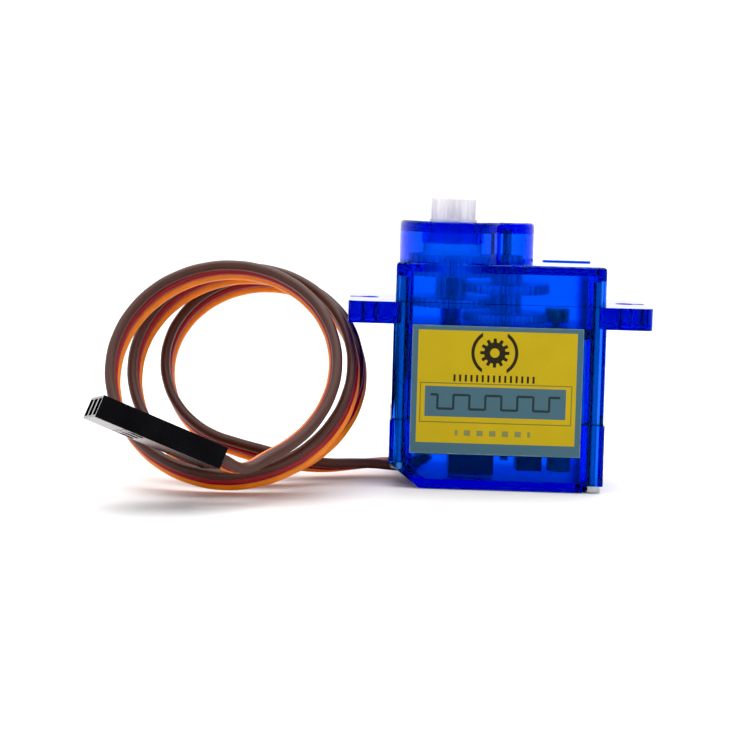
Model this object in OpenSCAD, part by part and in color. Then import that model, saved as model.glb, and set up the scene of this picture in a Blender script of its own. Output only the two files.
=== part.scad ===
// Micro hobby servo of the 9 g class: a translucent case with mounting ears, a four-stage
// gear train, a brushed motor, a feedback potentiometer, and a three-wire lead with its plug.
// The origin is the centre of the case's bottom face, +X runs along the case and +Z is up.

/* [Case] */
// Length of the case, without the mounting ears
case_l = 22.7; // [22.5:0.1:23]
// Width of the case
case_w = 11.8; // [11.8:0.1:12.4]
// Height of the case up to its flat top
case_h = 24.2; // [23.9:0.1:24.4]
// Thickness of the case walls
wall = 0.9; // [0.7:0.05:0.9]
// Height of the bottom cover, up to its seam
bottom_h = 7.3; // [7:0.1:7.8]
// How far each part of the case stands proud at its ends of the part above it
cover_step = 0.15; // [0.05:0.05:0.2]
// Length of the slope under the lead
chamfer_l = 3.1; // [2.8:0.1:3.3]
// Height of the slope under the lead
chamfer_h = 2.6; // [2.4:0.1:2.8]
// Radius of the outer edges
edge_r = 0.4; // [0.3:0.05:0.5]

/* [Mounting ears] */
// Overall length over both ears
ear_span = 32.5; // [32:0.1:33]
// Height of the ears' underside
ear_z = 17.6; // [17.4:0.05:17.8]
// Thickness of the ears
ear_t = 2.35; // [2.2:0.05:2.5]
// Distance between the two mounting holes
hole_spacing = 28; // [27.6:0.1:28.4]
// Radius of the mounting holes
hole_r = 1; // [0.9:0.05:1.1]
// Width of the slot from each hole to the end of its ear
hole_slot = 1; // [0.8:0.1:1.1]

/* [Gear housing] */
// Height of the top of the dome
dome_top = 28.6; // [28.5:0.1:28.8]
// Radius of the dome over the output gear
dome_r = 5.8; // [5.75:0.05:5.85]
// Radius of the small boss over the middle axle
boss_r = 2.9; // [2.8:0.05:3.1]
// Thickness of the dome's wall
dome_wall = 0.8; // [0.7:0.05:0.8]

/* [Gear train] */
// Tooth size (module) of the three large stages
stage_m = 0.25; // [0.25]
// Tooth size (module) of the motor's stage
motor_m = 0.19; // [0.19]
// Play between two meshed teeth, taken half from each
backlash = 0.06; // [0.04:0.01:0.08]

/* [Output shaft] */
// Distance from the case's end to the output axis
output_inset = 6.25; // [6.2:0.05:6.3]
// Height of the shaft's end
shaft_top = 31; // [30.6:0.1:31.4]
// Outer radius of the spline
spline_r = 2.45; // [2.3:0.05:2.5]
// Number of teeth on the spline
spline_teeth = 21; // [20:1:25]
// Radius of the horn screw's pilot hole
horn_screw_r = 0.8; // [0.7:0.05:0.9]
// Depth of the horn screw's pilot hole
horn_screw_depth = 5; // [4:0.5:5]

/* [Label] */
// Length of the label
label_l = 18.2; // [17:0.1:19]
// Height of the label
label_h = 13.75; // [13:0.05:14.2]

/* [Lead] */
// Diameter of each insulated wire
wire_d = 1.1; // [1:0.05:1.1]
// Length of the plug
plug_l = 13.2; // [13:0.1:14.5]
// Width of the plug across its three contacts
plug_w = 7.6; // [7.5:0.1:7.8]
// Thickness of the plug
plug_t = 2.25; // [2.2:0.05:2.6]

/* [Hidden] */
$fn = 48;
eps = 0.01;

// Colours
clear_blue = [0.05, 0.2, 0.85, 0.45];
nylon = [0.93, 0.92, 0.88];
steel = [0.75, 0.76, 0.78];
dark_steel = [0.35, 0.35, 0.37];
brass = [0.8, 0.65, 0.3];
copper = [0.78, 0.42, 0.2];
black_plastic = [0.06, 0.06, 0.07];

// Case levels and inner faces
deck_z = 16.4;                  // underside of the deck that carries the gears
deck_top = 17.5;
ear_top = ear_z + ear_t;        // also the seam between middle case and top cover
roof_z = case_h - 1;            // inside of the flat roof
dome_roof_z = dome_top - 1.2;   // inside of the dome's roof
floor_t = 1;                    // thickness of the bottom cover's floor
deck_boss_r = 1.15;
bushing_hole_r = 1.35;
partition_x = [0.2, 1];         // wall between the motor and the potentiometer
partition_z = 9;
inner_l = case_l - 2 * wall;
inner_w = case_w - 2 * wall;
bottom_l = case_l + 2 * cover_step;
top_l = case_l - 2 * cover_step;
rib_w = 1.6;                    // low rib on the roof

// Case screws
screw_r = 0.6;                  // shank
screw_hole_r = 0.68;
screw_head_r = 0.95;
screw_head_t = 0.7;
screw_post_r = 1.05;
screw_head_post_r = 1.3;        // round the heads, in the bottom cover
screw_inset_x = 1;              // from the case's end to the screw's axis
screw_inset_y = 1.35;
screw_end_z = 22.6;
screw_head_z = [2, 0.05];       // under the heads at the lead's end, and at the motor's end
screw_x = case_l / 2 - screw_inset_x;
screw_y = case_w / 2 - screw_inset_y;

// Gear teeth
pressure = 25;
teeth_small = 12;
teeth_large = 36;
teeth_pinion = 12;
teeth_first = 48;
stage_d = stage_m * (teeth_small + teeth_large) / 2;
first_d = motor_m * (teeth_pinion + teeth_first) / 2;
output_x = -case_l / 2 + output_inset;
axle_x = output_x + stage_d;
motor_x = axle_x + first_d;

// Gear levels: the bottom of each wheel, and the top of the pinion on it
gear_1_z = 17.75;
gear_2_z = 19.3;
gear_3_z = 20.9;
output_z = 22.6;
wheel_t = 0.95;
gear_1_top = 20.7;
gear_2_top = 22.35;
gear_3_top = 25;
output_wheel_t = 2.3;
deck_boss_top = gear_2_z - 0.1;
pinion_top = 19.3;

// Axles and running fits
play = 0.05;
axle_r = 0.5;
pot_shaft_r = 0.7;
socket_play = 0.02;
shoulder_r = 3.2;
journal_r = 2.6;
collar_r = 3.4;
collar_h = 1.2;

// Motor
motor_r = 3.6;
motor_bottom = 6.6;
motor_top = 16.2;
can_t = 0.4;
stem_half_w = 0.4;              // stems of the armature's poles
bushing_r = 1.2;
terminal_y = 2.5;               // from the motor's axis to each terminal
inner_lead_r = 0.35;            // wires from the board to the motor and the potentiometer
solder_r = 0.7;

// Potentiometer
pot_r = 3.9;
pot_base_z = 11.2;
pot_floor_z = 11.8;
pot_top_z = 16.2;

// Circuit board
board_z = 3.6;
board_t = 0.8;
board_l = 17.5;
board_w = 9.4;
board_top = board_z + board_t;

// Label
label_t = 0.08;
label_x = -0.2;
label_z = 3.85;

// Lead's exit through the slope
exit_z = 1.5;
exit_w = 3 * wire_d + 0.3;
exit_h = wire_d + 0.3;
exit_inner_x = -7.5;

// Lead: its three turns stand on the floor in front of each other and lean back.
// Each list holds the value at the start of each turn and at the end of the last one.
ring_x = [[0, -25.4], [1, -26.85], [2, -28.5], [3, -29.5]];
ring_y = [[0, 3.1], [1, -0.8], [2, -4.75], [3, -8.8]];
ring_z = [[0, 11.55], [1, 11.35], [2, 11.95], [3, 13]];
ring_r = [[0, 10.3], [1, 12.1], [2, 12.7], [3, 11.6]];
ring_lean = 35;
ring_steps = 24;                // rings of the tube in one turn
ring_first = 1;
ring_last = 70;
wire_sides = 8;
wire_gap = 0.06;                // between neighbouring wires
wire_r = (wire_d - wire_gap) / 2;
contact_pitch = 2.54;

// Middle wire's route before and after the turns
lead_in = [
  [-7, 0, 2.9], [-8.2, 0, 2], [-9.5, 0, 1.5], [-11, 0, 1.5], [-13, -0.1, 1.5],
  [-15.5, -0.7, 1.4], [-18.6, -1.7, 1.4], [-22, -2.6, 1.9], [-25.2, -2.9, 2.6]
];
plug_entry = [-28.8, -16.7, 4.67];
plug_axis = [-0.89, -0.25, 0.405];
lead_out = [[-26.15, -15.95, 3.6], plug_entry];

// Direction from the orange wire across the ribbon to the brown one, at each stage of the route
across_exit = [0, -1, 0];
across_coil = [-0.15, -0.76, 0.63];
across_plug = [0.31, -0.93, 0.195];

// ---- Shared shapes ----

module round_rect(l, w, r) {
  square([l - 2 * r, w], center = true);
  square([l, w - 2 * r], center = true);
  for (x = [-1, 1], y = [-1, 1])
    translate([x * (l / 2 - r), y * (w / 2 - r)]) circle(r);
}

module box_between(low, high) {
  translate(low) cube(high - low);
}

module rod(r, z0, z1) {
  translate([0, 0, z0]) cylinder(r = r, h = z1 - z0);
}

module ring(r_out, r_in, z0, z1) {
  difference() {
    rod(r_out, z0, z1);
    rod(r_in, z0 - 1, z1 + 1);
  }
}

module at_screws() {
  for (x = [-1, 1], y = [-1, 1])
    translate([x * screw_x, y * screw_y, 0]) children();
}

// Posts for the case screws, kept inside the case's outline
module screw_posts(z0, z1, r = screw_post_r) {
  intersection() {
    at_screws() rod(r, z0, z1);
    translate([0, 0, z0]) linear_extrude(z1 - z0) round_rect(case_l, case_w, edge_r);
  }
}

module case_cavity(z0, z1) {
  translate([-inner_l / 2, -inner_w / 2, z0]) cube([inner_l, inner_w, z1 - z0]);
}

// ---- Gear teeth ----

// Involute function of an angle, in degrees
function involute(a) = tan(a) * 180 / PI - a;

// Half the angle that a tooth covers at radius r
function half_tooth(r, base, pitch, n) =
  90 / n - backlash / 4 / pitch * 180 / PI
  + involute(pressure) - involute(acos(min(1, base / max(r, base))));

function gear_outline(m, n, phase) =
  let (pitch = m * n / 2, base = pitch * cos(pressure))
  let (tip = pitch + m, root = pitch - 1.25 * m, low = max(base, root))
  let (mid = (low + tip) / 2, radii = root < base ? [root, base, mid, tip] : [root, mid, tip])
  let (last = len(radii) - 1)
  [
    for (i = [0:n - 1], side = [-1, 1], k = [0:last])
      let (r = radii[side < 0 ? k : last - k])
      let (a = phase + i * 360 / n + side * half_tooth(r, base, pitch, n))
      [r * cos(a), r * sin(a)]
  ];

module spur(m, n, z0, z1, phase = 0) {
  translate([0, 0, z0]) linear_extrude(z1 - z0) polygon(gear_outline(m, n, phase));
}

// A wheel with a smaller pinion on top of it, bored for its axle
module compound_gear(m, n, z, top, bore, pinion_phase) {
  difference() {
    union() {
      spur(m, n, z, z + wheel_t);
      spur(stage_m, teeth_small, z + wheel_t - eps, top, pinion_phase);
    }
    rod(bore, z - 1, top + 1);
  }
}

// ---- Case ----

module top_cover() {
  color(clear_blue) difference() {
    union() {
      hull() {
        for (x = [-1, 1], y = [-1, 1])
          translate([x * (top_l / 2 - edge_r), y * (case_w / 2 - edge_r), ear_top]) {
            cylinder(r = edge_r, h = 1, $fn = 32);
            translate([0, 0, case_h - ear_top - edge_r]) sphere(edge_r, $fn = 32);
          }
      }
      translate([output_x, 0, 0]) dome(dome_r);
      translate([axle_x, 0, 0]) dome(boss_r);
      // low rib along the roof's back edge
      box_between([5.3, case_w / 2 - edge_r - rib_w, case_h - eps],
        [10.6, case_w / 2 - edge_r, case_h + 0.15]);
    }
    difference() {
      union() {
        case_cavity(ear_top - 1, roof_z);
        translate([output_x, 0, 0]) rod(dome_r - dome_wall, ear_top, dome_roof_z);
        translate([axle_x, 0, 0]) rod(boss_r - dome_wall, ear_top, dome_roof_z);
      }
      screw_posts(ear_top - 2, case_h - eps);
      translate([output_x, 0, 0]) rod(collar_r, dome_roof_z - collar_h, dome_top - eps);
    }
    translate([output_x, 0, 0]) rod(journal_r + play, ear_top, dome_top + 1);
    translate([axle_x, 0, 0]) rod(axle_r + socket_play, ear_top, dome_roof_z + 0.5);
    at_screws() rod(screw_r + socket_play, ear_top - 1, screw_end_z + 0.1);
  }
}

// A round tower of the gear housing, with a rounded top edge
module dome(r) {
  rotate_extrude() {
    translate([0, roof_z]) square([r, dome_top - roof_z - edge_r]);
    translate([0, roof_z]) square([r - edge_r, dome_top - roof_z]);
    translate([r - edge_r, dome_top - edge_r]) circle(edge_r);
  }
}

module middle_case() {
  color(clear_blue) difference() {
    union() {
      translate([0, 0, bottom_h]) linear_extrude(ear_top - bottom_h)
        round_rect(case_l, case_w, edge_r);
      translate([0, 0, ear_z]) linear_extrude(ear_t) ear_outline();
      translate([output_x, 0, 0]) rod(deck_boss_r, deck_z, deck_boss_top);
    }
    difference() {
      case_cavity(bottom_h - 1, deck_z);
      screw_posts(bottom_h - 2, deck_z + 1);
      box_between([partition_x[0], -case_w / 2 + eps, partition_z],
        [partition_x[1], case_w / 2 - eps, deck_z + 1]);
    }
    difference() {
      case_cavity(deck_top, ear_top + 1);
      screw_posts(deck_z, ear_top + 2);
      translate([output_x, 0, 0]) rod(deck_boss_r, deck_z, deck_boss_top);
    }
    at_screws() rod(screw_hole_r, bottom_h - 1, ear_top + 1);
    translate([output_x, 0, 0]) rod(pot_shaft_r + 2 * play, deck_z - 1, ear_top + 1);
    translate([axle_x, 0, 0]) rod(axle_r + socket_play, deck_z + 0.2, ear_top + 1);
    translate([motor_x, 0, 0]) rod(bushing_hole_r, deck_z - 1, ear_top + 1);
  }
}

// Outline of both mounting ears, with a hole and an end slot in each
module ear_outline() {
  difference() {
    round_rect(ear_span, case_w, 0.8);
    square([case_l - 1, case_w + 1], center = true);
    for (side = [-1, 1]) {
      translate([side * hole_spacing / 2, 0]) circle(hole_r);
      translate([side * (ear_span / 2 + hole_spacing / 2) / 2, 0])
        square([(ear_span - hole_spacing) / 2, hole_slot], center = true);
    }
  }
}

module bottom_cover() {
  corner_cut = 6.2;
  color(clear_blue) difference() {
    bottom_cover_body();
    difference() {
      case_cavity(floor_t, bottom_h + 1);
      screw_posts(-1, bottom_h + 2, screw_head_post_r);
      translate([-bottom_l / 2, -case_w / 2, 0]) lead_slope_wall();
    }
    // slot for the lead, and a channel for it in the floor
    box_between([-case_l, -exit_w / 2, exit_z - exit_h / 2],
      [exit_inner_x, exit_w / 2, exit_z + exit_h / 2]);
    at_screws() rod(screw_hole_r, -1, bottom_h + 1);
    for (y = [-1, 1]) {
      translate([-screw_x, y * screw_y, 0])
        rod(screw_head_r + play, -1, screw_head_z[0] + screw_head_t + play);
      // corner cut away round the head
      translate([screw_x + corner_cut / 2 - 1.1, y * (screw_y + corner_cut / 2 - 1.1), 0])
        cube([corner_cut, corner_cut, 2 * (screw_head_z[1] + screw_head_t + play)], center = true);
    }
  }
}

module bottom_cover_body() {
  x = bottom_l / 2 - edge_r;
  y = case_w / 2 - edge_r;
  hull() {
    for (side = [-1, 1]) {
      translate([-x, side * y, chamfer_h])
        cylinder(r = edge_r, h = bottom_h - chamfer_h, $fn = 32);
      translate([x, side * y, edge_r]) {
        sphere(edge_r, $fn = 32);
        cylinder(r = edge_r, h = bottom_h - edge_r, $fn = 32);
      }
      translate([chamfer_l - x, side * y, edge_r]) sphere(edge_r, $fn = 32);
    }
  }
}

// The wall behind the slope, as thick as the floor
module lead_slope_wall() {
  inner = floor_t * 1.3;
  rotate([90, 0, 0]) translate([0, 0, -case_w]) linear_extrude(case_w)
    polygon([[0, 0], [chamfer_l + inner, 0], [chamfer_l + inner, floor_t - 0.3],
      [0, chamfer_h + inner]]);
}

module case_screws() {
  color(steel) for (side = [-1, 1], y = [-1, 1])
    translate([side * screw_x, y * screw_y, screw_head_z[side < 0 ? 0 : 1]]) case_screw(side);
}

module case_screw(side) {
  length = screw_end_z - screw_head_z[side < 0 ? 0 : 1];
  slot = [1.3, 0.3, 0.35];
  difference() {
    union() {
      rod(screw_head_r, 0, screw_head_t);
      rod(screw_r, screw_head_t - eps, length);
    }
    for (turn = [0, 90])
      rotate(turn) translate([-slot.x / 2, -slot.y / 2, -eps]) cube(slot);
  }
}

module label() {
  color([0.78, 0.7, 0.2])
    translate([label_x - label_l / 2, -case_w / 2 - label_t, label_z])
      cube([label_l, label_t, label_h]);
}

// ---- Gear train ----

module output_gear() {
  wheel_top = output_z + output_wheel_t;
  journal_z = dome_roof_z - collar_h - 0.1;
  spline_z = dome_top + 0.15;
  color(nylon) translate([output_x, 0, 0]) difference() {
    union() {
      spur(stage_m, teeth_large, output_z, wheel_top);
      rod(shoulder_r, wheel_top - eps, journal_z);
      rod(journal_r, journal_z - eps, spline_z);
      translate([0, 0, spline_z - eps]) linear_extrude(shaft_top - spline_z) spline_outline();
    }
    rod(horn_screw_r, shaft_top - horn_screw_depth, shaft_top + 1);
    shaft_flat_rod(pot_shaft_r + socket_play, output_z - 1, 24.6);
  }
}

module spline_outline() {
  root = spline_r - 0.22;
  polygon([
    for (i = [0:spline_teeth - 1], k = [0:3])
      let (r = k < 2 ? spline_r : root, a = (i + [0.13, 0.37, 0.57, 0.93][k]) * 360 / spline_teeth)
      [r * cos(a), r * sin(a)]
  ]);
}

// A shaft with one flat along it
module shaft_flat_rod(r, z0, z1) {
  flat = pot_shaft_r * 0.6;
  difference() {
    rod(r, z0, z1);
    translate([flat + r - pot_shaft_r, -r - 1, z0 - 1]) cube([r, 2 * r + 2, z1 - z0 + 2]);
  }
}

module gear_1() {
  color(nylon) translate([axle_x, 0, 0])
    compound_gear(motor_m, teeth_first, gear_1_z, gear_1_top, axle_r + play, 180 / teeth_small);
}

module gear_2() {
  color(nylon) translate([output_x, 0, 0])
    compound_gear(stage_m, teeth_large, gear_2_z, gear_2_top, pot_shaft_r + play,
      180 / teeth_small);
}

module gear_3() {
  color(nylon) translate([axle_x, 0, 0])
    compound_gear(stage_m, teeth_large, gear_3_z, gear_3_top, axle_r + play, 180 / teeth_small);
}

module gear_axle() {
  color(steel) translate([axle_x, 0, 0]) rod(axle_r, deck_z + 0.25, dome_roof_z + 0.4);
}

// ---- Motor ----

module motor_can() {
  color(steel) translate([motor_x, 0, 0]) difference() {
    rod(motor_r, motor_bottom, motor_top);
    rod(motor_r - can_t, motor_bottom - 1, motor_top - 0.5);
    rod(bushing_r, motor_bottom, motor_top + 1);
  }
}

module motor_end_cap() {
  color([0.9, 0.9, 0.88]) translate([motor_x, 0, 0]) difference() {
    union() {
      rod(motor_r, motor_bottom - 0.8, motor_bottom);
      rod(motor_r - can_t - socket_play, motor_bottom - 0.4, motor_bottom + 0.6);
    }
    rod(axle_r + play, motor_bottom - 0.5, motor_bottom + 1);
    for (side = [-1, 1])
      translate([0, side * terminal_y, 0]) terminal_blade(0.02, motor_bottom - 1, motor_bottom + 1);
  }
}

// Blade of a motor terminal, grown by a gap for its slot
module terminal_blade(gap, z0, z1) {
  thick = 0.3;
  broad = 1.4;
  box_between([-broad / 2 - gap, -thick / 2 - gap, z0], [broad / 2 + gap, thick / 2 + gap, z1]);
}

module motor_terminals() {
  color(brass) for (side = [-1, 1])
    translate([motor_x, side * terminal_y, 0])
      terminal_blade(0, motor_bottom - 1.6, motor_bottom + 0.9);
}

// Each brush is a leaf from its terminal to the commutator
module motor_brushes() {
  color(copper) for (side = [-1, 1])
    translate([motor_x, 0, motor_bottom + 0.95])
      box_between([-0.4, side < 0 ? -2.6 : 1.1, 0], [0.4, side < 0 ? -1.1 : 2.6, 0.7]);
}

// Two curved magnets inside the can, with a gap between them at the front and back
module motor_magnets() {
  outer = motor_r - can_t - socket_play;
  inner = 2.5;
  half_gap = 1;
  color(dark_steel) translate([motor_x, 0, 0]) difference() {
    ring(outer, inner, motor_bottom + 1.8, motor_top - 1.4);
    translate([-half_gap, -motor_r, 0]) cube([2 * half_gap, 2 * motor_r, case_h]);
  }
}

module motor_bushing() {
  color(brass) translate([motor_x, 0, 0])
    ring(bushing_r - socket_play, axle_r + play, motor_top - 0.7, motor_top + 0.9);
}

module motor_leads() {
  color([0.8, 0.1, 0.1]) for (side = [-1, 1])
    translate([motor_x, side * terminal_y, 0]) rod(inner_lead_r, board_top, motor_bottom - 1.6);
}

module motor_shaft() {
  color(steel) translate([motor_x, 0, 0]) rod(axle_r, motor_bottom - 0.4, pinion_top);
}

module motor_pinion() {
  color(brass) translate([motor_x, 0, 0]) difference() {
    spur(motor_m, teeth_pinion, gear_1_z, pinion_top, 180 / teeth_pinion);
    rod(axle_r, gear_1_z - 1, pinion_top + 1);
  }
}

// Three poles, each a stem with a curved shoe
module armature_core() {
  z0 = motor_bottom + 3;
  z1 = motor_top - 2;
  hub_r = 1;
  shoe_in = 1.85;
  shoe_out = 2.3;
  shoe_half_w = 1.45;
  color(dark_steel) translate([motor_x, 0, 0]) difference() {
    union() {
      rod(hub_r, z0, z1);
      for (pole = [0:2]) rotate(pole * 120) {
        box_between([hub_r / 2, -stem_half_w, z0], [(shoe_in + shoe_out) / 2, stem_half_w, z1]);
        intersection() {
          ring(shoe_out, shoe_in, z0, z1);
          box_between([0, -shoe_half_w, z0], [3, shoe_half_w, z1]);
        }
      }
    }
    rod(axle_r, z0 - 1, z1 + 1);
  }
}

module armature_windings() {
  z0 = motor_bottom + 2.6;
  z1 = motor_top - 1.6;
  color(copper) translate([motor_x, 0, 0]) for (pole = [0:2]) rotate(pole * 120)
    difference() {
      box_between([1.2, -0.75, z0], [1.65, 0.75, z1]);
      box_between([1, -stem_half_w - 0.02, z0 + 0.38], [3, stem_half_w + 0.02, z1 - 0.38]);
    }
}

module commutator() {
  color(copper) translate([motor_x, 0, 0]) difference() {
    ring(1.05, axle_r, motor_bottom + 0.7, motor_bottom + 2.2);
    for (gap = [0:2]) rotate(gap * 120 + 60)
      box_between([0.8, -0.06, 0], [2, 0.06, 20]);
  }
}

// ---- Potentiometer ----

module pot_housing() {
  color([0.2, 0.45, 0.35]) translate([output_x, 0, 0]) difference() {
    rod(pot_r, pot_floor_z, pot_top_z);
    rod(pot_r - 0.5, pot_floor_z - 1, pot_top_z - 0.7);
    rod(pot_shaft_r + play, pot_floor_z, pot_top_z + 1);
  }
}

module pot_base() {
  color(black_plastic) translate([output_x, 0, 0]) rod(pot_r, pot_base_z, pot_floor_z);
}

module pot_track() {
  color([0.15, 0.12, 0.1]) translate([output_x, 0, 0]) difference() {
    ring(3, 2.2, pot_floor_z, pot_floor_z + 0.1);
    box_between([-0.5, -4, 10], [0.5, 0, 20]);
  }
}

module pot_shaft() {
  color(steel) translate([output_x, 0, 0]) {
    rod(pot_shaft_r, pot_floor_z + 0.2, output_z - eps);
    shaft_flat_rod(pot_shaft_r, output_z - 2 * eps, 24.5);
  }
}

module pot_wiper() {
  color(brass) translate([output_x, 0, 0]) difference() {
    union() {
      rod(1.3, pot_floor_z + 0.3, pot_floor_z + 0.8);
      box_between([-0.5, 0, pot_floor_z + 0.3], [0.5, 2.9, pot_floor_z + 0.6]);
      box_between([-0.5, 2.3, pot_floor_z + 0.15], [0.5, 2.9, pot_floor_z + 0.4]);
    }
    rod(pot_shaft_r, pot_floor_z, pot_top_z);
  }
}

module at_pot_pins() {
  for (k = [-1:1]) translate([output_x + k * 2, 2, 0]) children();
}

module pot_terminals() {
  color(brass) at_pot_pins()
    box_between([-0.3, -0.15, pot_base_z - 1.2], [0.3, 0.15, pot_base_z]);
}

module pot_leads() {
  color([0.9, 0.8, 0.2]) at_pot_pins() rod(inner_lead_r, board_top, pot_base_z - 1.2);
}

// ---- Circuit board ----

module circuit_board() {
  color([0.05, 0.3, 0.15]) translate([0, 0, board_z + board_t / 2])
    cube([board_l, board_w, board_t], center = true);
}

module control_chip() {
  color(black_plastic) box_between([-5, -4.3, board_z - 2.2], [-0.2, 0.2, board_z]);
}

module driver_chip() {
  color(black_plastic) box_between([2.3, -4.2, board_z - 1.6], [5, -0.8, board_z]);
}

// A round capacitor and a row of small parts under the board
module board_components() {
  color([0.7, 0.6, 0.45]) {
    translate([7, -2.6, 0]) rod(1.3, board_z - 1.7, board_z);
    for (k = [0:3])
      translate([-4 + k * 2.6, 2.6, board_z - 0.6]) cube([1.6, 0.8, 0.6]);
    translate([0.6, -3.6, board_z - 0.6]) cube([0.8, 1.6, 0.6]);
  }
}

module solder_joints() {
  color(steel) {
    for (k = [-1:1])
      translate([-7.2, k * wire_d, 0]) rod(0.5, lead_in[0].z + wire_d / 2, board_z);
    at_pot_pins() ring(solder_r, inner_lead_r, board_top, board_top + 0.3);
    for (side = [-1, 1])
      translate([motor_x, side * terminal_y, 0])
        ring(solder_r, inner_lead_r, board_top, board_top + 0.3);
  }
}

// ---- Lead ----

function ring_point(step) =
  let (u = step / ring_steps, a = -90 - 360 * u, r = lookup(u, ring_r))
  [
    lookup(u, ring_x) + r * cos(a),
    lookup(u, ring_y) + r * sin(a) * sin(ring_lean),
    lookup(u, ring_z) + r * sin(a) * cos(ring_lean)
  ];

function unit(v) = v / norm(v);
function mix(a, b, t) = a + (b - a) * min(1, max(0, t));

route = [
  each lead_in,
  for (step = [ring_first:ring_last]) ring_point(step),
  each lead_out,
  plug_entry + 2.5 * unit(plug_axis)
];
route_last = len(route) - 1;
in_last = len(lead_in) - 1;

// The ribbon turns from flat at the exit to the coil's slant, and then to the plug's
function across_at(i) =
  i <= in_last
    ? mix(across_exit, across_coil, (i - 3) / (in_last - 3))
    : mix(across_coil, across_plug, (i - route_last + 16) / 12);

function direction_at(i) = unit(route[min(i + 1, route_last)] - route[max(i - 1, 0)]);

// The ribbon's wires part where they enter the plug
function spacing_at(i) = i < route_last - 1 ? wire_d : contact_pitch;

function side_at(i) = let (t = direction_at(i), w = across_at(i)) unit(w - (w * t) * t);

// One wire of the ribbon: place is 1 for brown, 0 for red and -1 for orange
module wire(place) {
  points = [
    for (i = [0:route_last], k = [0:wire_sides - 1])
      let (s = side_at(i), n = cross(direction_at(i), s), a = (k + 0.5) * 360 / wire_sides)
      route[i] + s * (place * spacing_at(i) + wire_r * cos(a)) + n * wire_r * sin(a)
  ];
  sides = [
    for (i = [0:route_last - 1], k = [0:wire_sides - 1])
      let (a = i * wire_sides, b = a + wire_sides, next = (k + 1) % wire_sides)
      [a + k, b + k, b + next, a + next]
  ];
  end = route_last * wire_sides;
  caps = [[for (k = [0:wire_sides - 1]) k], [for (k = [wire_sides - 1:-1:0]) end + k]];
  polyhedron(points, [each sides, each caps]);
}

module wire_brown() {
  color([0.35, 0.18, 0.14]) wire(1);
}

module wire_red() {
  color([0.75, 0.12, 0.15]) wire(0);
}

module wire_orange() {
  color([0.95, 0.5, 0.1]) wire(-1);
}

// Moves from a frame along the plug to where the plug lies
module at_plug() {
  x = unit(plug_axis);
  y = unit(across_plug - (across_plug * x) * x);
  z = cross(x, y);
  p = plug_entry;
  multmatrix([
    [x.x, y.x, z.x, p.x],
    [x.y, y.y, z.y, p.y],
    [x.z, y.z, z.z, p.z]
  ]) children();
}

module plug_housing() {
  cell = 1.7;
  color(black_plastic) at_plug() difference() {
    box_between([0, -plug_w / 2, -plug_t / 2], [plug_l, plug_w / 2, plug_t / 2]);
    for (k = [-1:1]) translate([0, k * contact_pitch, 0]) {
      box_between([-1, -cell / 2, -cell / 2], [plug_l + 1, cell / 2, cell / 2]);
      box_between([7.9, -cell / 2 + 0.1, -plug_t], [10.1, cell / 2 - 0.1, 0]);
    }
  }
}

// Crimped sockets, one in each cell of the plug
module plug_contacts() {
  half = 0.7;
  color(brass) at_plug() for (k = [-1:1]) translate([0, k * contact_pitch, 0]) difference() {
    box_between([3, -half, -half], [plug_l - 0.4, half, half]);
    box_between([2, -0.4, -0.4], [plug_l, 0.4, 0.4]);
  }
}

top_cover();
middle_case();
bottom_cover();
case_screws();
label();
output_gear();
gear_1();
gear_2();
gear_3();
gear_axle();
motor_can();
motor_end_cap();
motor_magnets();
motor_bushing();
motor_brushes();
motor_terminals();
motor_leads();
motor_shaft();
motor_pinion();
armature_core();
armature_windings();
commutator();
pot_housing();
pot_base();
pot_track();
pot_shaft();
pot_wiper();
pot_terminals();
pot_leads();
circuit_board();
control_chip();
driver_chip();
board_components();
solder_joints();
wire_brown();
wire_red();
wire_orange();
plug_housing();
plug_contacts();
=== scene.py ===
"""Looks of the micro servo: its camera and light, its lead, and the material of every piece."""
import math
import bmesh
import bpy
from mathutils import Matrix, Vector


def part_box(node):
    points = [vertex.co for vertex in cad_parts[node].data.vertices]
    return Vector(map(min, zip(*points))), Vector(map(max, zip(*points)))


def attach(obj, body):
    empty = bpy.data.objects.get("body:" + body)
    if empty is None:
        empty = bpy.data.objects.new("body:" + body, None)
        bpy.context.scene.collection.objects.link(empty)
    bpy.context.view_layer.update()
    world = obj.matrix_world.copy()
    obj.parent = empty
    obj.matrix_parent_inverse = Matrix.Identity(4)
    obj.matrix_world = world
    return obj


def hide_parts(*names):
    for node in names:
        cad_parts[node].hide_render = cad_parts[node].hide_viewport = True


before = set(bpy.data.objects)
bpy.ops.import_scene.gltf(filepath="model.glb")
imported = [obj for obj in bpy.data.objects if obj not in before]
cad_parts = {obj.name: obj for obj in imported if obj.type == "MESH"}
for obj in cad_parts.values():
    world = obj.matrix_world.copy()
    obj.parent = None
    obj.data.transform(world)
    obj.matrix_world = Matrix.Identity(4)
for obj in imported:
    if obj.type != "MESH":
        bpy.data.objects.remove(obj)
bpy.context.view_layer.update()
scene = bpy.context.scene
MM = 0.001


def mm(*values):
    """A point or direction given in millimetres."""
    return Vector(values) * MM


# ---- Camera ----

CAMERA_PLACE = (-11.9, -163.8, 33)
CAMERA_TURN = (-0.99, 2.53, 1.6)  # yaw to the right, pitch down and roll, in degrees
CAMERA_LENS = 73.4
CAMERA_SHIFT = -0.166


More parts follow.
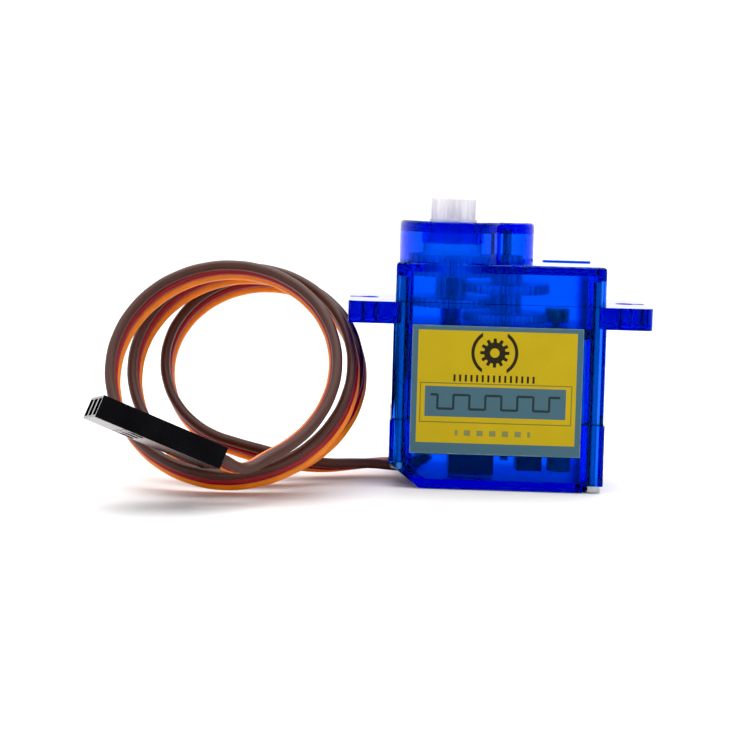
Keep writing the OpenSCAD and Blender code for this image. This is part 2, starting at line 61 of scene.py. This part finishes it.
def make_camera():
    """A long lens a little above the shaft's end, in front of the label."""
    yaw, pitch, roll = (math.radians(angle) for angle in CAMERA_TURN)
    forward = Vector((
        math.sin(yaw) * math.cos(pitch),
        math.cos(yaw) * math.cos(pitch),
        -math.sin(pitch)))
    level = Vector((math.cos(yaw), -math.sin(yaw), 0))
    right = Matrix.Rotation(-roll, 3, forward) @ level
    up = right.cross(forward)
    data = bpy.data.cameras.new("camera")
    data.sensor_width = 36
    data.lens = CAMERA_LENS
    data.shift_y = CAMERA_SHIFT
    data.clip_start = 0.01
    camera = bpy.data.objects.new("camera", data)
    turn = Matrix((right, up, -forward)).transposed().to_4x4()
    camera.matrix_world = Matrix.Translation(mm(*CAMERA_PLACE)) @ turn
    scene.collection.objects.link(camera)
    scene.camera = camera


make_camera()


# ---- Lead: the same route as the CAD tubes, in millimetres ----

WIRE_D = 1.1          # from one wire's centre to the next one's
CONTACT_PITCH = 2.54
INSULATION_R = 0.545
PLUG_DEPTH = 2.5      # how far the wires reach into the plug
RING_X = (-25.4, -26.85, -28.5, -29.5)
RING_Y = (3.1, -0.8, -4.75, -8.8)
RING_Z = (11.55, 11.35, 11.95, 13)
RING_R = (10.3, 12.1, 12.7, 11.6)
RING_LEAN = math.radians(35)
RING_STEPS = 24
RING_FIRST = 1
RING_LAST = 70
LEAD_IN = (
    (-7, 0, 2.9), (-8.2, 0, 2), (-9.5, 0, 1.5), (-11, 0, 1.5), (-13, -0.1, 1.5),
    (-15.5, -0.7, 1.4), (-18.6, -1.7, 1.4), (-22, -2.6, 1.9), (-25.2, -2.9, 2.6))
PLUG_ENTRY = Vector((-28.8, -16.7, 4.67))
PLUG_AXIS = Vector((-0.89, -0.25, 0.405)).normalized()
LEAD_OUT = ((-26.15, -15.95, 3.6), PLUG_ENTRY)
ACROSS_EXIT = Vector((0, -1, 0))
ACROSS_COIL = Vector((-0.15, -0.76, 0.63))
ACROSS_PLUG = Vector((0.31, -0.93, 0.195))
TWIST_START = 3       # the route's point where the ribbon starts to turn towards the coil's lay
TWIST_BACK = 16       # how many points before the last it starts to turn towards the plug's
TWIST_STEPS = 12

# The plug's latch tongues, in millimetres in the plug's own frame
TONGUE_SIZE = (2.1, 1.1, 0.3)
TONGUE_X = 9
TONGUE_Z = -0.9
TONGUE_TILT = math.radians(6)
TONGUE_ROUND = 0.05
PLUG_ROUND = 0.16


def lookup(turn, values):
    """The value between the starts of two turns of the coil."""
    k = min(int(turn), len(values) - 2)
    return values[k] + (values[k + 1] - values[k]) * (turn - k)


def ring_point(step):
    """A place on the coil, RING_STEPS of them to a turn."""
    turn = step / RING_STEPS
    angle = -math.pi / 2 - 2 * math.pi * turn
    r = lookup(turn, RING_R)
    return Vector((
        lookup(turn, RING_X) + r * math.cos(angle),
        lookup(turn, RING_Y) + r * math.sin(angle) * math.sin(RING_LEAN),
        lookup(turn, RING_Z) + r * math.sin(angle) * math.cos(RING_LEAN)))


ROUTE = [
    *map(Vector, LEAD_IN),
    *(ring_point(step) for step in range(RING_FIRST, RING_LAST + 1)),
    *map(Vector, LEAD_OUT),
    PLUG_ENTRY + PLUG_DEPTH * PLUG_AXIS]
ROUTE_LAST = len(ROUTE) - 1
IN_LAST = len(LEAD_IN) - 1


def across_at(i):
    """The direction from the orange wire across the ribbon to the brown one."""
    if i <= IN_LAST:
        share = (i - TWIST_START) / (IN_LAST - TWIST_START)
        return ACROSS_EXIT.lerp(ACROSS_COIL, min(1, max(0, share)))
    share = (i - ROUTE_LAST + TWIST_BACK) / TWIST_STEPS
    return ACROSS_COIL.lerp(ACROSS_PLUG, min(1, max(0, share)))


def side_at(i):
    """The ribbon's own sideways direction, square to its route."""
    along = (ROUTE[min(i + 1, ROUTE_LAST)] - ROUTE[max(i - 1, 0)]).normalized()
    across = across_at(i)
    return (across - across.dot(along) * along).normalized()


def wire_points(place):
    """One wire's centreline: place is 1 for brown, 0 for red and -1 for orange."""
    spacing = [
        WIRE_D if i < ROUTE_LAST - 1 else CONTACT_PITCH for i in range(ROUTE_LAST + 1)]
    return [
        (ROUTE[i] + side_at(i) * place * spacing[i]) * MM for i in range(ROUTE_LAST + 1)]


def make_mesh_piece(name, mesh):
    """An object made from a bmesh, riding on the case."""
    data = bpy.data.meshes.new(name)
    mesh.to_mesh(data)
    mesh.free()
    piece = bpy.data.objects.new(name, data)
    scene.collection.objects.link(piece)
    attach(piece, "case")
    return piece


def soften(mesh, width):
    """Rounds every edge of a bmesh that is sharper than 30 degrees."""
    bmesh.ops.remove_doubles(mesh, verts=mesh.verts, dist=0.001 * MM)
    bmesh.ops.dissolve_limit(
        mesh, angle_limit=math.radians(1), verts=mesh.verts, edges=mesh.edges)
    sharp = [edge for edge in mesh.edges if edge.calc_face_angle(0) > math.radians(30)]
    bmesh.ops.bevel(
        mesh, geom=sharp, offset=width * MM, segments=2, profile=0.5,
        affect="EDGES", clamp_overlap=True)


def plug_frame():
    """The matrix from a frame along the plug, in millimetres, to where the plug lies."""
    x = PLUG_AXIS
    y = (ACROSS_PLUG - ACROSS_PLUG.dot(x) * x).normalized()
    z = x.cross(y)
    turn = Matrix((x, y, z)).transposed().to_4x4()
    return Matrix.Translation(PLUG_ENTRY * MM) @ turn @ Matrix.Scale(MM, 4)


def make_plug():
    """The plug's housing with softened edges, and the latch tongue in each of its windows."""
    shell = bmesh.new()
    shell.from_mesh(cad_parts["plug_housing"].data)
    soften(shell, PLUG_ROUND)
    housing = make_mesh_piece("plug_shell", shell)
    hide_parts("plug_housing")
    tongues = bmesh.new()
    for place in (-1, 0, 1):
        part = bmesh.ops.create_cube(tongues, size=1)["verts"]
        bmesh.ops.scale(tongues, vec=TONGUE_SIZE, verts=part)
        bmesh.ops.rotate(tongues, matrix=Matrix.Rotation(TONGUE_TILT, 3, "Y"), verts=part)
        spot = (TONGUE_X, place * CONTACT_PITCH, TONGUE_Z)
        bmesh.ops.translate(tongues, vec=spot, verts=part)
    bmesh.ops.transform(tongues, matrix=plug_frame(), verts=tongues.verts)
    soften(tongues, TONGUE_ROUND)
    latches = make_mesh_piece("plug_latches", tongues)


def make_wire(name, place):
    """A round insulated wire on its route.

    The bevel's depth is 1, so that each knot's radius is the wire's own, in metres. A curve's
    bounding box grows by the knots' radius, which is 1 m if it is left as it is."""
    points = wire_points(place)
    data = bpy.data.curves.new(name, "CURVE")
    data.dimensions = "3D"
    data.bevel_depth = 1
    data.bevel_resolution = 5
    data.resolution_u = 5
    data.use_fill_caps = True
    spline = data.splines.new("BEZIER")
    spline.bezier_points.add(len(points) - 1)
    for knot, point in zip(spline.bezier_points, points):
        knot.co = point
        knot.radius = INSULATION_R * MM
        knot.handle_left_type = knot.handle_right_type = "AUTO"
    wire = bpy.data.objects.new(name + "_insulation", data)
    scene.collection.objects.link(wire)
    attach(wire, "case")
    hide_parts(name)
    length = sum((b - a).length for a, b in zip(points, points[1:]))


make_plug()
make_wire("wire_brown", 1)
make_wire("wire_red", 0)
make_wire("wire_orange", -1)


# ---- Materials ----

class Field:
    """A number or colour that varies over a surface, worked out by shader nodes."""

    def __init__(self, tree, socket):
        self.tree = tree
        self.socket = socket

    def math(self, operation, *others, clamp=False):
        node = self.tree.nodes.new("ShaderNodeMath")
        node.operation = operation
        node.use_clamp = clamp
        for slot, value in zip(node.inputs, (self, *others)):
            plug_in(self.tree, slot, value)
        return Field(self.tree, node.outputs[0])

    def __add__(self, other):
        return self.math("ADD", other)

    def __sub__(self, other):
        return self.math("SUBTRACT", other)

    def __mul__(self, other):
        return self.math("MULTIPLY", other)

    def least(self, other):
        return self.math("MINIMUM", other)

    def most(self, other):
        return self.math("MAXIMUM", other)

    def mask(self, soft):
        """1 where this is positive and 0 where it is negative, with an edge as wide as soft."""
        return self.math("MULTIPLY_ADD", 1 / soft, 0.5, clamp=True)


def plug_in(tree, slot, value):
    """Links a field to a socket, or sets a plain number or colour on it."""
    if isinstance(value, Field):
        tree.links.new(value.socket, slot)
    elif isinstance(value, (tuple, list)):
        slot.default_value = (*value, 1)[:len(slot.default_value)]
    else:
        slot.default_value = value


class Paint:
    """A Principled material, with short names for the patterns that drive it."""

    def __init__(self, name):
        self.material = bpy.data.materials.new(name)
        self.material.use_nodes = True
        self.tree = self.material.node_tree
        self.shader = self.tree.nodes["Principled BSDF"]
        self.place = self.tree.nodes.new("ShaderNodeTexCoord").outputs["Object"]

    def set(self, **values):
        """Sets the shader's sockets by name, with _ for a space."""
        for key, value in values.items():
            plug_in(self.tree, self.shader.inputs[key.replace("_", " ")], value)
        return self

    def axes(self):
        """The place on the surface, in metres, as three fields."""
        node = self.tree.nodes.new("ShaderNodeSeparateXYZ")
        self.tree.links.new(self.place, node.inputs[0])
        return [Field(self.tree, output) for output in node.outputs]

    def noise(self, size, detail=3, stretch=(1, 1, 1)):
        """Noise from 0 to 1, with features of a size in millimetres."""
        mapping = self.tree.nodes.new("ShaderNodeMapping")
        mapping.inputs["Scale"].default_value = [1 / (size * MM * s) for s in stretch]
        self.tree.links.new(self.place, mapping.inputs["Vector"])
        node = self.tree.nodes.new("ShaderNodeTexNoise")
        node.inputs["Scale"].default_value = 1
        node.inputs["Detail"].default_value = detail
        self.tree.links.new(mapping.outputs[0], node.inputs["Vector"])
        return Field(self.tree, node.outputs["Fac"])

    def remap(self, field, low, high, start=0.25, end=0.75):
        """Spreads a field's values from start..end to low..high."""
        node = self.tree.nodes.new("ShaderNodeMapRange")
        for slot, value in zip(node.inputs, (field, start, end, low, high)):
            plug_in(self.tree, slot, value)
        return Field(self.tree, node.outputs[0])

    def mix(self, share, under, over):
        """The colour under where share is 0, and the colour over where it is 1."""
        node = self.tree.nodes.new("ShaderNodeMix")
        node.data_type = "RGBA"
        plug_in(self.tree, node.inputs["Factor"], share)
        plug_in(self.tree, node.inputs[6], under)
        plug_in(self.tree, node.inputs[7], over)
        return Field(self.tree, node.outputs[2])

    def bump(self, height, depth):
        """Raises the surface by up to depth millimetres where height is 1."""
        node = self.tree.nodes.new("ShaderNodeBump")
        node.inputs["Distance"].default_value = depth * MM
        plug_in(self.tree, node.inputs["Height"], height)
        self.tree.links.new(node.outputs[0], self.shader.inputs["Normal"])
        return self


def shade(colour, factor):
    return tuple(min(1, channel * factor) for channel in colour)


def mottle(paint, tone, colour, spread):
    """The colour, made darker and lighter by a share that follows the tone."""
    return paint.mix(
        paint.remap(tone, 0, 1), shade(colour, 1 - spread), shade(colour, 1 + spread))


def moulded(name, colour, rough, spread=0.12, **sockets):
    """Moulded plastic: fine grain, slow changes of tone and of gloss."""
    paint = Paint(name)
    fine = paint.noise(0.12)
    slow = paint.noise(3)
    tone = fine * 0.35 + slow * 0.65
    paint.set(
        Base_Color=mottle(paint, tone, colour, spread),
        Roughness=paint.remap(slow, rough * 0.85, rough * 1.2), **sockets)
    return paint.bump(fine, 0.004).material


def metal(name, colour, rough, stretch=(1, 1, 12)):
    """Metal with fine drawn or turned lines along one axis."""
    paint = Paint(name)
    lines = paint.noise(0.06, stretch=stretch)
    slow = paint.noise(1.6)
    tone = lines * 0.5 + slow * 0.5
    paint.set(
        Base_Color=mottle(paint, tone, colour, 0.15),
        Roughness=paint.remap(lines, rough * 0.8, rough * 1.3), Metallic=1)
    return paint.bump(lines, 0.003).material


# Millimetres: the hollow inside of the case, the ears up to just under their tops, and where
# the shaft comes out of the dome
INNER_X = 10.7
INNER_Y = 5.3
INNER_Z = (0.7, 23.5)
EAR_X = 11.4
EAR_Z = (17.65, 19.9)
SHAFT_Z = 28.4

# How the case's plastic takes colour from the light, red, green and blue, and how fast per metre
CASE_DEPTH_COLOUR = (0, 0.48, 0.967, 1)
CASE_DEPTH_DENSITY = 2900

# How much rougher the hollow's walls and the ears' sides are than the outside
INSIDE_ROUGH = 0.2
EAR_ROUGH = 0.12


def case_plastic():
    """Clear blue polycarbonate: the deeper the light goes, the darker and bluer it gets."""
    paint = Paint("case_blue")
    flow = paint.noise(2.6, detail=2, stretch=(1, 1, 2.5))
    scuffs = paint.noise(0.5, detail=4, stretch=(4, 1, 1))
    gloss = paint.remap(scuffs, 0.02, 0.07, 0.35, 0.8)
    x, y, z = (axis * (1 / MM) for axis in paint.axes())
    low, high = INNER_Z
    side = (x.math("ABSOLUTE") * -1 + INNER_X).least(y.math("ABSOLUTE") * -1 + INNER_Y)
    inside = side.least((z - low).least(z * -1 + high)).mask(0.1)
    ear_low, ear_high = EAR_Z
    ear_levels = (z - ear_low).least(z * -1 + ear_high)
    ears = (x.math("ABSOLUTE") - EAR_X).least(ear_levels).mask(0.02)
    paint.set(
        Base_Color=(0.93, 0.96, 1), Transmission_Weight=1, IOR=1.5,
        Specular_Tint=(0.03, 0.3, 0.7),
        Roughness=gloss + inside * INSIDE_ROUGH + ears * EAR_ROUGH)
    paint.bump(flow, 0.008)
    depth = paint.tree.nodes.new("ShaderNodeVolumeAbsorption")
    depth.inputs["Color"].default_value = CASE_DEPTH_COLOUR
    depth.inputs["Density"].default_value = CASE_DEPTH_DENSITY
    output = paint.tree.nodes["Material Output"]
    paint.tree.links.new(depth.outputs[0], output.inputs["Volume"])
    return paint.material


TEAL = (0.055, 0.13, 0.175)
YELLOW = (0.49, 0.355, 0.011)
INK = (0.014, 0.012, 0.008)
OLIVE = (0.2, 0.17, 0.03)
GREY = (0.2, 0.21, 0.08)
WAVE_INK = (0.012, 0.03, 0.04)
WORN_EDGE = (0.3, 0.36, 0.36)
DUST = (0.12, 0.1, 0.02)


def label_print():
    """A laminated sticker: teal border, yellow field, and plain pictograms of what a servo does.

    All lengths are in millimetres: u from the label's left edge and v from its lower edge."""
    paint = Paint("label_print")
    low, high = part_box("label")
    x, _, z = paint.axes()
    u = (x - low.x) * (1 / MM)
    v = (z - low.z) * (1 / MM)
    wide, tall = (high.x - low.x) / MM, (high.z - low.z) / MM
    middle = wide / 2 - 0.3
    soft = 0.035

    def box(u0, u1, v0, v1):
        across = (u - u0).least(u * -1 + u1)
        return across.least((v - v0).least(v * -1 + v1)).mask(soft)

    def frame_line(u0, u1, v0, v1, line):
        return box(u0, u1, v0, v1) - box(u0 + line, u1 - line, v0 + line, v1 - line)

    def stripes(pitch):
        """A wave across the label, from -1 to 1, with one crest in its middle."""
        return ((u - middle) * (2 * math.pi / pitch)).math("COSINE")

    def wheel_and_arcs(centre_v, radius, teeth, tooth, hole):
        """A toothed wheel, and an arc on each side of it that says that it turns."""
        du, dv = u - middle, v - centre_v
        r = (du * du + dv * dv).math("SQRT")
        angle = dv.math("ARCTAN2", du)
        wave = ((angle * teeth).math("COSINE") * 3).math("MAXIMUM", -1).math("MINIMUM", 1)
        rim = wave * (tooth / 2) + radius
        wheel = (rim - r).mask(soft) - (r * -1 + hole).mask(soft)
        arcs = (r - 2.15).least(r * -1 + 2.5).least(du.math("ABSOLUTE") - 1.3).mask(soft)
        return wheel, arcs

    # The field, the wheel, and a row of tick marks under it
    colour = paint.mix(box(0.65, wide - 0.65, 1.2, tall - 0.5), TEAL, YELLOW)
    wheel, arcs = wheel_and_arcs(10.95, 1.35, 12, 0.42, 0.5)
    colour = paint.mix(wheel, colour, INK)
    colour = paint.mix(arcs, colour, INK)
    ticks = (stripes(0.6) - 0.35).mask(0.4)
    scale = box(middle - 4.5, middle + 4.5, 7.8, 8.55) * ticks
    colour = paint.mix(scale, colour, INK)

    # The lower box, with a square wave drawn in it, and a dashed line
    colour = paint.mix(frame_line(0.95, wide - 1.05, 3.35, 7.65, 0.12), colour, OLIVE)
    colour = paint.mix(box(1.5, wide - 1.7, 4, 7.25), colour, TEAL)
    pulse = stripes(3.4)
    level = pulse.mask(0.06) * 1.5 + 4.85
    line = ((v - level).math("ABSOLUTE") * -1 + 0.13).mask(soft)
    rise = (pulse.math("ABSOLUTE") * -1 + 0.22).mask(0.05) * box(0, wide, 4.8, 6.4)
    wave = line.most(rise) * box(2.1, wide - 2.3, 4.4, 6.9)
    colour = paint.mix(wave, colour, WAVE_INK)
    dashes = stripes(1.35).mask(0.3)
    colour = paint.mix(dashes * box(middle - 4, middle + 4, 2, 2.6), colour, GREY)

    # Worn edges, and a little dust in the print's grain
    print_grain = paint.noise(0.09)
    slow = paint.noise(2.2)
    edge = u.least(u * -1 + wide).least(v.least(v * -1 + tall))
    worn = (edge * -1 + 0.22 - paint.noise(0.7) * 0.3).mask(0.1)
    colour = paint.mix(worn * 0.35, colour, WORN_EDGE)
    tone = paint.remap(print_grain * 0.5 + slow * 0.5, 0, 0.16)
    colour = paint.mix(tone, colour, DUST)
    paint.set(
        Base_Color=colour, Roughness=paint.remap(slow, 0.34, 0.5), Specular_IOR_Level=0.12)
    return paint.bump(slow * 0.8 + print_grain * 0.2, 0.02).material


def nylon():
    """Natural nylon: cloudy, and lit through by the case round the gears."""
    paint = Paint("nylon_white")
    fine = paint.noise(0.12)
    slow = paint.noise(3)
    _, _, z = (axis * (1 / MM) for axis in paint.axes())
    shaft = (z - SHAFT_Z).mask(0.3)
    paint.set(
        Base_Color=paint.mix(paint.remap(slow, 0, 1), shade(NYLON, 0.97), NYLON),
        Roughness=paint.remap(slow, 0.32, 0.42), IOR=1.3,
        Transmission_Weight=shaft * -0.35 + 0.9)
    return paint.bump(fine, 0.003).material


def insulation(name, colour):
    """Soft PVC insulation: a satin skin with faint streaks along the wire."""
    paint = Paint(name)
    fine = paint.noise(0.1)
    slow = paint.noise(1.8)
    tone = fine * 0.3 + slow * 0.7
    paint.set(
        Base_Color=mottle(paint, tone, colour, 0.15),
        Roughness=paint.remap(slow, 0.36, 0.5), Specular_IOR_Level=0.35)
    return paint.bump(tone, 0.006).material


def dress(material, *names):
    """Puts a material on CAD nodes and added pieces."""
    for name in names:
        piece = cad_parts.get(name) or bpy.data.objects[name]
        if not piece.material_slots:
            piece.data.materials.append(material)
        for slot in piece.material_slots:
            slot.material = material


NYLON = (1, 0.98, 1)
STEEL = (0.42, 0.43, 0.45)
dress(case_plastic(), "top_cover", "middle_case", "bottom_cover")
dress(label_print(), "label")
dress(nylon(), "output_gear", "gear_1", "gear_2", "gear_3")
dress(metal("steel", STEEL, 0.25), "case_screws", "gear_axle", "motor_shaft", "pot_shaft")
dress(metal("can_steel", (0.52, 0.53, 0.55), 0.3), "motor_can")
dress(metal("brass", (0.78, 0.6, 0.28), 0.28),
      "motor_bushing", "motor_terminals", "motor_pinion", "pot_wiper", "pot_terminals")
dress(metal("copper", (0.72, 0.36, 0.2), 0.3),
      "motor_brushes", "armature_windings", "commutator")
dress(metal("contact_gold", (0.82, 0.64, 0.3), 0.25), "plug_contacts")
dress(metal("solder", (0.7, 0.7, 0.72), 0.22, stretch=(1, 1, 1)), "solder_joints")
dress(metal("core_steel", (0.28, 0.28, 0.3), 0.45, stretch=(12, 12, 1)), "armature_core")
dress(moulded("magnet_grey", (0.1, 0.1, 0.11), 0.6), "motor_magnets")
dress(moulded("cap_white", (0.8, 0.8, 0.78), 0.5), "motor_end_cap")
dress(moulded("pot_green", (0.08, 0.3, 0.22), 0.45), "pot_housing")
dress(moulded("chip_black", (0.02, 0.02, 0.023), 0.5),
      "pot_base", "control_chip", "driver_chip")
dress(moulded("track_carbon", (0.03, 0.026, 0.022), 0.7), "pot_track")
dress(moulded("board_green", (0.02, 0.16, 0.07), 0.3, Coat_Weight=0.5), "circuit_board")
dress(moulded("component_tan", (0.5, 0.36, 0.2), 0.45), "board_components")
dress(moulded("lead_red_thin", (0.6, 0.03, 0.03), 0.4), "motor_leads")
dress(moulded("lead_yellow_thin", (0.8, 0.6, 0.05), 0.4), "pot_leads")
dress(moulded("plug_black", (0.006, 0.006, 0.007), 0.2, spread=0.3, Specular_IOR_Level=0.15),
      "plug_shell", "plug_latches")
dress(insulation("wire_brown", (0.066, 0.024, 0.017)), "wire_brown_insulation")
dress(insulation("wire_red", (0.27, 0.011, 0.016)), "wire_red_insulation")
dress(insulation("wire_orange", (0.9, 0.24, 0.015)), "wire_orange_insulation")


# ---- Floor and light ----

FLOOR_GAP = 0.02  # millimetres under the part
FLOOR_TONES = ((0.92, 0.91, 0.92), (0.95, 0.95, 0.95))

# The world's strength as light from the near side and the far side, and as the camera sees it
SKY_NEAR = 0.6
SKY_FAR = 1.5
SKY_SEEN = 1.25

# The far side's share is SKY_LEVEL at the level sides, and these more straight back and overhead
SKY_LEVEL = 0.45
SKY_BACK = 0.75
SKY_UP = 0.65

BLACK_LEVEL = 0.01  # the brightness that comes out black


def make_floor():
    """A plain pale floor under the whole scene."""
    data = bpy.data.meshes.new("floor")
    half = 3  # metres
    corners = [(-half, -half, 0), (half, -half, 0), (half, half, 0), (-half, half, 0)]
    data.from_pydata(corners, [], [(0, 1, 2, 3)])
    floor = bpy.data.objects.new("floor", data)
    floor.location.z = -FLOOR_GAP * MM
    scene.collection.objects.link(floor)
    paint = Paint("floor_paper")
    tone = paint.noise(14)
    paint.set(Base_Color=paint.mix(tone, *FLOOR_TONES), Roughness=0.55)
    data.materials.append(paint.material)


def make_light(name, place, target, size, power):
    """A square softbox aimed at a target. Metres and watts."""
    data = bpy.data.lights.new(name, "AREA")
    data.shape = "SQUARE"
    data.size = size
    data.energy = power
    light = bpy.data.objects.new(name, data)
    light.location = place
    light.rotation_mode = "QUATERNION"
    light.rotation_quaternion = (Vector(target) - Vector(place)).to_track_quat("-Z", "Y")
    scene.collection.objects.link(light)


def make_world():
    """White to the camera. As light, brightest overhead and behind, and dim on the near side."""
    world = bpy.data.worlds.new("studio")
    world.use_nodes = True
    tree = world.node_tree
    place = tree.nodes.new("ShaderNodeTexCoord")
    axes = tree.nodes.new("ShaderNodeSeparateXYZ")
    tree.links.new(place.outputs["Generated"], axes.inputs[0])
    _, back, up = (Field(tree, output) for output in axes.outputs)
    far = (back * SKY_BACK + up * SKY_UP + SKY_LEVEL).math("MAXIMUM", 0).math("MINIMUM", 1)
    sky = far * (SKY_FAR - SKY_NEAR) + SKY_NEAR
    seen = Field(tree, tree.nodes.new("ShaderNodeLightPath").outputs["Is Camera Ray"])
    background = tree.nodes["Background"]
    background.inputs["Color"].default_value = (1, 1, 1, 1)
    plug_in(tree, background.inputs["Strength"], sky.most(seen * SKY_SEEN))
    scene.world = world


make_floor()
make_world()
make_light("top_softbox", place=(-0.01, 0.02, 0.35), target=(-0.01, 0, 0), size=0.4, power=0.9)

scene.view_settings.view_transform = "Standard"
scene.view_settings.use_curve_mapping = True
scene.view_settings.curve_mapping.black_level = (BLACK_LEVEL,) * 3
scene.view_settings.curve_mapping.update()
scene.cycles.max_bounces = 24
scene.cycles.transmission_bounces = 24
scene.cycles.transparent_max_bounces = 16
scene.cycles.glossy_bounces = 8
scene.cycles.use_denoising = True

bpy.context.view_layer.update()
